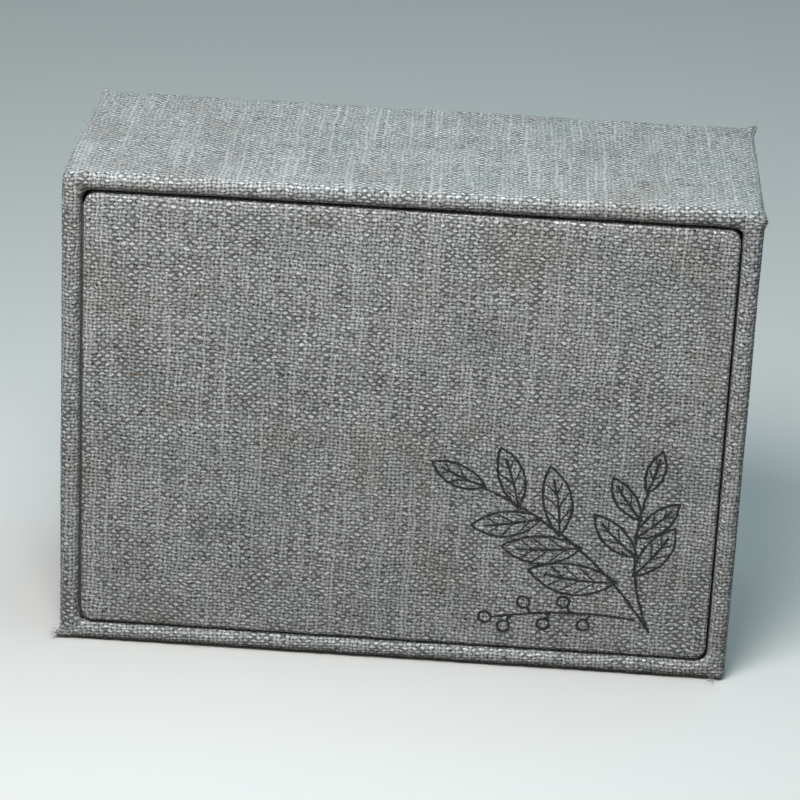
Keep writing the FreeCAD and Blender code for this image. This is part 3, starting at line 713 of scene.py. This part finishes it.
def buildSleeveCloth(look):
    roll = look["outerRoll"]
    mouth = look["mouthRoll"]
    towardsMouth = traceSection([
        (sleeveHalf.y - roll, 0.0, round((sleeveHalf.y - roll) / look["rowStep"])),
        (roll * quarter, quarter, look["rollSteps"]),
        (sleeveWall - roll - mouth, 0.0, look["stripSteps"]),
        (mouth * quarter, quarter, look["rollSteps"]),
        (look["turnIn"] - mouth, 0.0, look["turnInSteps"]),
    ])
    wrap = Wrap(
        (sleeveHalf.x, sleeveHalf.z), flipped(towardsMouth) + towardsMouth, roll, look["openingCorner"],
        sleeveWall, mouth, look["columnStep"], look["rollSteps"], turnedSides=(1, 3),
    )
    opening = Vector((sleeveHalf.x - sleeveWall, 0, sleeveHalf.z - sleeveWall))

    def toFrame(place, reach):
        return Vector((place.x, reach, place.y)) + sleeveMiddle

    def inSlit(co):
        here = co - sleeveMiddle
        nearSide = opening.x - abs(here.x) < look["slitWidth"]
        nearLevel = opening.z - abs(here.z) < look["slitWidth"]
        margin = look["slitMargin"]
        inside = abs(here.x) < opening.x + margin and abs(here.z) < opening.z + margin
        return nearSide and nearLevel and inside and abs(here.y) < sleeveHalf.y - look["slitStart"]

    ears = [
        ([sleeveHalf[axis] * side[axis] for axis in range(3)], [pull * mm for pull in pulled], reach * mm)
        for side, pulled, reach in look["ears"]
    ]

    def shape(co, normal):
        here = co - sleeveMiddle
        move = normal * sum(waviness(co, *wave) for wave in look["waves"])
        move += knobs(co, normal, look["knobSize"], look["knobHeight"])
        # the box stands on its corners, with the underside a little hollow between them
        middle = 1 - abs(here.x / sleeveHalf.x) ** 5
        low = smoothStep(1 - (here.z + sleeveHalf.z) / look["hollowRise"])
        move += Vector((0, 0, look["bottomHollow"] * middle * low))
        # a faint crease where the cloth is mitred over each corner of the mouths
        depthX = sleeveHalf.x - abs(here.x)
        depthZ = sleeveHalf.z - abs(here.z)
        nearMouth = abs(here.y) > sleeveHalf.y - roll
        if nearMouth and max(depthX, depthZ) < sleeveWall + look["creaseEnd"]:
            crease = max(1 - abs(depthX - depthZ) / look["creaseWidth"], 0.0)
            move -= normal * look["creaseDepth"] * crease
        move += pulls(here, ears)
        move.z = max(move.z, sleeveLow.z - co.z)
        return move

    piece = wrapCloth("linenSleeveCover", wrap, toFrame, look["thickness"], inSlit, shape, linen)
    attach(piece, "sleeve")
    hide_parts("sleeve_cloth")
    around = wrap.start[3] + wrap.straight[3] + wrap.straight[0] + roll * quarter
    flat = (around, 2 * towardsMouth[-1][3])
    print(f"sleeve cloth wrapped, flat {flat[0]:.4f} by {flat[1]:.4f}, {len(piece.data.polygons)} faces")
    return piece, flat


sleeveCover, sleeveFlat = buildSleeveCloth(sleeveCloth)

# The drawer's place, which the fibres keep clear
drawerLow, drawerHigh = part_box("drawer_cloth")
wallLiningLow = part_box("drawer_wall_lining")[0]
drawerMiddle = (drawerLow + drawerHigh) / 2
drawerHalf = (drawerHigh - drawerLow) / 2
drawerWall = wallLiningLow.x - drawerLow.x + clothLayer

# Loose fibres on the sleeve's edges and frayed corners
fibreLook = {
    "seed": 4,
    "halfThickness": 0.026 * mm,
    "points": 6,
    "thinAtTip": 0.55,
    "swing": 0.12,
    "aboveTable": 0.05 * mm,
    "besideDrawer": 0.06 * mm,
    # root, tip and sag in mm, seen from the sleeve's middle
    "strays": [
        ((-64.6, 4.5, 47.6), (-68.4, 4.0, 50.6), 0.5), ((-64.7, -3.5, 47.5), (-67.0, -4.4, 46.6), 0.2),
        ((-64.7, -4.2, 47.5), (-67.4, -5.4, 46.3), 0.1), ((-64.7, -3.0, 47.6), (-66.8, -2.4, 47.3), 0.2),
        ((-64.8, -9.5, 47.4), (-66.2, -10.5, 47.9), 0.3), ((-64.8, -14.0, 47.4), (-66.0, -15.2, 47.2), 0.2),
        ((-64.5, 12.0, 47.7), (-65.6, 12.5, 48.9), 0.3), ((-64.4, 17.0, 47.7), (-65.2, 18.0, 49.9), 0.4),
    ],
    # middle of the tuft, the way it points in mm, how many fibres
    "tufts": [
        ((-65.4, -27.1, -46.8), (-1.5, -0.6, 0.2), 26), ((62.3, -27.0, -47.2), (-0.3, -1.4, -0.5), 22),
        ((-60.8, -27.0, -44.3), (0.9, -0.5, 0.5), 16), ((65.3, -27.0, 45.4), (0.9, -0.5, 0.3), 14),
        ((65.4, 26.9, 47.9), (0.9, 0.3, 0.5), 14), ((-65.0, 27.0, 47.8), (-0.4, 0.4, 0.9), 10),
        ((-65.3, 27.0, -47.0), (-1.0, 0.7, 0.2), 14), ((65.3, 27.0, -47.0), (1.0, 0.7, 0.2), 14),
    ],
    "tuftSpread": 0.45,
    "rootSpread": 0.8,
    "tipSpread": 0.6,
    "tuftLength": (0.3, 1.1),
    "tuftSag": (-0.1, 0.25),
    # short hairs along the twelve outer edges, most of them on the edges that run back
    "fuzz": 220,
    "fuzzAxes": (0, 1, 1, 2),
    "fuzzInset": 0.35 * mm,
    "fuzzEnds": 2 * mm,
    "fuzzLean": (0.2, 1),
    "fuzzSlant": 0.8,
    "fuzzLength": (0.5, 1.3),
    "fuzzSag": (-0.1, 0.2),
    "dark": rgb(0.42, 0.39, 0.34),
    "pale": rgb(0.78, 0.77, 0.72),
    "toneScale": 900.0,
    "toneRange": (0.35, 0.65),
    "roughness": (0.75, 0.2),
}


def besideDrawer(place, gap):
    # out of the way that the drawer takes through the mouths
    deepX = min(place.x - drawerLow.x, drawerHigh.x - place.x) + gap
    deepZ = min(place.z - drawerLow.z, drawerHigh.z - place.z) + gap
    if min(deepX, deepZ) > 0:
        if deepX < deepZ:
            place.x += math.copysign(deepX, place.x - sleeveMiddle.x)
        else:
            place.z += math.copysign(deepZ, place.z - sleeveMiddle.z)
    return place


def wanderingSpline(curve, root, tip, sag, rand, look):
    points = look["points"]
    spline = curve.splines.new("NURBS")
    spline.points.add(points - 1)
    swing = Vector((rand.uniform(-1, 1), rand.uniform(-1, 1), rand.uniform(-1, 1)))
    swing = swing * (tip - root).length * look["swing"]
    for number in range(points):
        share = number / (points - 1)
        bow = math.sin(math.pi * share)
        place = root.lerp(tip, share) + swing * math.sin(math.tau * share) + Vector((0, 0, sag * bow))
        place.z = max(place.z, -sleeveHalf.z + look["aboveTable"])
        place = besideDrawer(place + sleeveMiddle, look["besideDrawer"])
        spline.points[number].co = (*place, 1)
        spline.points[number].radius = 1.0 - look["thinAtTip"] * share
    spline.order_u = 3
    spline.use_endpoint_u = True


def buildFibres(look):
    rand = random.Random(look["seed"])
    curve = bpy.data.curves.new("looseFibres", "CURVE")
    curve.dimensions = "3D"
    curve.bevel_depth = look["halfThickness"]
    curve.bevel_resolution = 0
    curve.resolution_u = 2
    curve.use_fill_caps = True
    for root, tip, sag in look["strays"]:
        wanderingSpline(curve, Vector(root) * mm, Vector(tip) * mm, sag * mm, rand, look)
    for middle, aim, count in look["tufts"]:
        for number in range(count):
            spread = Vector([rand.gauss(0, look["tuftSpread"]) for axis in range(3)]) * mm
            root = Vector(middle) * mm + spread * look["rootSpread"]
            away = Vector(aim) * mm * rand.uniform(*look["tuftLength"])
            tip = root + away + spread * look["tipSpread"]
            wanderingSpline(curve, root, tip, rand.uniform(*look["tuftSag"]) * mm, rand, look)
    for number in range(look["fuzz"]):
        axis = rand.choice(look["fuzzAxes"])
        root = Vector([rand.choice((-1, 1)) * (sleeveHalf[other] - look["fuzzInset"]) for other in range(3)])
        root[axis] = rand.uniform(-1, 1) * (sleeveHalf[axis] - look["fuzzEnds"])
        way = Vector()
        for other in range(3):
            if other != axis:
                way[other] = math.copysign(rand.uniform(*look["fuzzLean"]), root[other])
        way[axis] = rand.uniform(-look["fuzzSlant"], look["fuzzSlant"])
        tip = root + way.normalized() * rand.uniform(*look["fuzzLength"]) * mm
        wanderingSpline(curve, root, tip, rand.uniform(*look["fuzzSag"]) * mm, rand, look)
    drawn = bpy.data.objects.new("looseFibresCurve", curve)
    mesh = bpy.data.meshes.new_from_object(drawn)
    mesh.name = "looseFibres"
    bpy.data.objects.remove(drawn)
    mesh.materials.clear()
    mesh.materials.append(fibreMaterial(look))
    piece = bpy.data.objects.new("looseFibres", mesh)
    bpy.context.scene.collection.objects.link(piece)
    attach(piece, "sleeve")
    print(f"loose fibres drawn, {len(curve.splines)} of them")
    return piece


def fibreMaterial(look):
    material, shader, start = newMaterial("fibre")
    here = start.add("ShaderNodeTexCoord", {}, output="Object")
    tone = start.cloud(here, look["toneScale"], 1.0)
    plug(shader, "Base Color", tone.rise(*look["toneRange"]).blend(look["dark"], look["pale"]))
    smoothest, varies = look["roughness"]
    plug(shader, "Roughness", smoothest + tone * varies)
    return material


looseFibres = buildFibres(fibreLook)

# Drawer cloth
drawerCloth = {
    "thickness": 0.42 * mm,
    "edgeRoll": 0.68 * mm,
    "panelCorner": 2.3 * mm,
    "rimRoll": 0.98 * mm,
    "rimCorner": 0.35 * mm,
    "turnIn": 12.0 * mm,
    "turnUnder": 12.0 * mm,
    "slitWidth": 1.2 * mm,
    "slitStart": 1.8 * mm,
    "slitMargin": 0.05 * mm,
    "columnStep": 0.7 * mm,
    "rowStep": 1.6 * mm,
    "rollSteps": 5,
    "cornerSteps": 4,
    "rimSteps": 2,
    "turnInSteps": 4,
    "waves": [(25 * mm, 0.05 * mm), (4 * mm, 0.02 * mm)],
    "knobSize": 1.2 * mm,
    "knobHeight": 0.20 * mm,
}


def buildDrawerCloth(look):
    roll = look["edgeRoll"]
    rim = look["rimRoll"]
    upToEdge = [
        (drawerHalf.z - roll, 0.0, round(drawerHalf.z / look["rowStep"])),
        (roll * quarter, quarter, look["rollSteps"]),
    ]
    upwards = traceSection(upToEdge + [
        (drawerWall - roll - rim, 0.0, look["rimSteps"]),
        (rim * quarter, quarter, look["rollSteps"]),
        (look["turnIn"] - rim, 0.0, look["turnInSteps"]),
    ])
    downwards = traceSection(upToEdge + [(look["turnUnder"] - roll, 0.0, look["turnInSteps"])])
    wrap = Wrap(
        (drawerHalf.x, drawerHalf.y), flipped(downwards) + upwards, roll, look["rimCorner"], drawerWall, rim,
        look["columnStep"], look["cornerSteps"],
    )
    opening = Vector((drawerHalf.x - drawerWall, drawerHalf.y - drawerWall, 0))

    def toFrame(place, reach):
        # the panels' square corners are drawn in to round ones
        corner = look["panelCorner"]
        x = abs(place.x) - (drawerHalf.x - corner)
        z = abs(reach) - (drawerHalf.z - corner)
        across, up = place.x, reach
        if x > 0 and z > 0:
            drawn = max(x, z) / math.hypot(x, z)
            across = math.copysign(drawerHalf.x - corner + x * drawn, across)
            up = math.copysign(drawerHalf.z - corner + z * drawn, up)
        return Vector((across, place.y, up)) + drawerMiddle

    def inSlit(co):
        here = co - drawerMiddle
        nearSide = opening.x - abs(here.x) < look["slitWidth"]
        nearEnd = opening.y - abs(here.y) < look["slitWidth"]
        margin = look["slitMargin"]
        inside = abs(here.x) < opening.x + margin and abs(here.y) < opening.y + margin
        return nearSide and nearEnd and inside and 0 < here.z < drawerHalf.z - look["slitStart"]

    def shape(co, normal):
        move = normal * sum(waviness(co, *wave) for wave in look["waves"])
        return move + knobs(co, normal, look["knobSize"], look["knobHeight"])

    piece = wrapCloth("linenDrawerCover", wrap, toFrame, look["thickness"], inSlit, shape, panelLinen)
    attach(piece, "drawer")
    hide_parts("drawer_cloth")
    around = wrap.start[3] + wrap.straight[3] + wrap.straight[0] + roll * quarter
    flat = (around, wrap.section[-1][3] - wrap.section[0][3])
    print(f"drawer cloth wrapped, flat {flat[0]:.4f} by {flat[1]:.4f}, {len(piece.data.polygons)} faces")
    return piece


buildDrawerCloth(drawerCloth)

# Boards, tape and lining papers
pulpLook = {
    # material slot: name, base, fleck, fibre scale and roughness
    "finishes": {
        "grey_board": ("greyBoard", rgb(0.33, 0.30, 0.26), rgb(0.22, 0.19, 0.16), 900.0, 0.9),
        "gummed_tape": ("gummedTape", rgb(0.40, 0.26, 0.14), rgb(0.30, 0.18, 0.09), 700.0, 0.75),
        "lining_paper": ("liningPaper", rgb(0.42, 0.40, 0.35), rgb(0.36, 0.34, 0.29), 1100.0, 0.85),
    },
    "patchScale": 60.0,
    "patchShade": (0.88, 0.24),
    "fibreStretch": (1.0, 1.0, 3.0),
    "fleckRange": (0.56, 0.70),
    "fleckShare": 0.55,
    "roughnessVaries": 0.2,
    "relief": 0.03 * mm,
    "reliefStrength": 0.5,
    "specular": 0.3,
}


def pulpMaterial(name, base, fleck, fibreScale, roughness, look):
    material, shader, start = newMaterial(name)
    here = start.add("ShaderNodeTexCoord", {}, output="Object")
    patch = start.cloud(here, look["patchScale"], 3.0)
    stretched = start.add("ShaderNodeVectorMath", {0: here, 1: look["fibreStretch"]}, operation="MULTIPLY")
    fibres = start.cloud(stretched, fibreScale, 3.0, 0.65)
    colour = (fibres.rise(*look["fleckRange"]) * look["fleckShare"]).blend(base, fleck)
    darkest, patchiness = look["patchShade"]
    plug(shader, "Base Color", (darkest + patch * patchiness).shade(colour))
    plug(shader, "Roughness", roughness + (fibres - 0.5) * look["roughnessVaries"])
    plug(shader, "Normal", start.add("ShaderNodeBump", {
        "Strength": look["reliefStrength"], "Distance": look["relief"], "Height": fibres,
    }))
    shader.inputs["Specular IOR Level"].default_value = look["specular"]
    return material


hiddenFinishes = {
    slot: pulpMaterial(*finish, pulpLook) for slot, finish in pulpLook["finishes"].items()
}
for row in frame["record"]["subparts"]:
    if row["material_slot"] in hiddenFinishes:
        node = frame["nodes"][row["node"]]
        node.data.materials.clear()
        node.data.materials.append(hiddenFinishes[row["material_slot"]])
print("boards and papers finished")

# Floor, light and camera
studio = {
    "floor": rgb(0.94, 0.91, 0.87),
    "floorBounce": rgb(0.085, 0.075, 0.06),
    "floorSize": 8.0,
    "sky": rgb(0.84, 0.94, 1.0),
    "skyStrength": 0.13,
    "keyPower": 3.5,
    "keySize": 0.9,
    "keyColour": (0.60, 0.90, 1.0),
    "keyPlace": (0.22, 0.08, 1.13),
    "frontPower": 1.40,
    "frontSize": 0.22,
    "frontColour": (0.98, 0.99, 1.0),
    "frontPlace": (-0.075, -0.235, 0.40),
    "fillPower": 0.5,
    "fillSize": 1.2,
    "fillColour": (1.0, 1.0, 1.0),
    "fillPlace": (-0.6, -1.3, 0.8),
    "aim": (0, 0, 0.05),
}


def addFloor(look):
    bm = bmesh.new()
    bmesh.ops.create_grid(bm, x_segments=4, y_segments=4, size=look["floorSize"] / 2)
    mesh = bpy.data.meshes.new("floor")
    bm.to_mesh(mesh)
    bm.free()
    floor = bpy.data.objects.new("floor", mesh)
    bpy.context.scene.collection.objects.link(floor)
    material, shader, start = newMaterial("paleFloor")
    ray = start.add("ShaderNodeLightPath", {}, output="Is Camera Ray")
    seen = ray.most(ray.out("Is Glossy Ray")).most(ray.out("Is Transmission Ray"))
    plug(shader, "Base Color", seen.blend(look["floorBounce"], look["floor"]))
    shader.inputs["Roughness"].default_value = 0.9
    shader.inputs["Specular IOR Level"].default_value = 0.1
    mesh.materials.append(material)


def addSoftLight(name, look):
    light = bpy.data.lights.new(f"{name}Light", "AREA")
    light.energy = look[f"{name}Power"]
    light.color = look[f"{name}Colour"]
    light.shape = "DISK"
    light.size = look[f"{name}Size"]
    lamp = bpy.data.objects.new(f"{name}Light", light)
    bpy.context.scene.collection.objects.link(lamp)
    lamp.location = look[f"{name}Place"]
    lamp.rotation_euler = (Vector(look["aim"]) - lamp.location).to_track_quat("-Z", "Y").to_euler()


addFloor(studio)
world = bpy.data.worlds.new("studio")
bpy.context.scene.world = world
world.use_nodes = True
sky = world.node_tree.nodes["Background"]
sky.inputs["Color"].default_value = studio["sky"]
sky.inputs["Strength"].default_value = studio["skyStrength"]
for name in ("key", "front", "fill"):
    addSoftLight(name, studio)

cameraView = {
    "place": (0.0221, -0.5862, 0.2799),
    "azimuth": math.radians(-2.31),
    "elevation": math.radians(21.92),
    "roll": math.radians(2.68),
    "lens": 144.0,
    "sensor": 36.0,
}


def addCamera(look):
    lens = bpy.data.cameras.new("camera")
    lens.lens = look["lens"]
    lens.sensor_width = look["sensor"]
    lens.clip_start = 0.01
    lens.clip_end = 20
    camera = bpy.data.objects.new("camera", lens)
    bpy.context.scene.collection.objects.link(camera)
    bpy.context.scene.camera = camera
    az, el, roll = look["azimuth"], look["elevation"], look["roll"]
    ahead = Vector((math.sin(az) * math.cos(el), math.cos(az) * math.cos(el), -math.sin(el)))
    level = Vector((math.cos(az), -math.sin(az), 0))
    upright = level.cross(ahead)
    right = level * math.cos(roll) + upright * math.sin(roll)
    top = upright * math.cos(roll) - level * math.sin(roll)
    turned = Matrix((right, top, -ahead)).transposed().to_4x4()
    camera.matrix_world = Matrix.Translation(look["place"]) @ turned
    return camera


addCamera(cameraView)
bpy.context.scene.view_settings.view_transform = "Standard"
print("stage, lights and camera set")
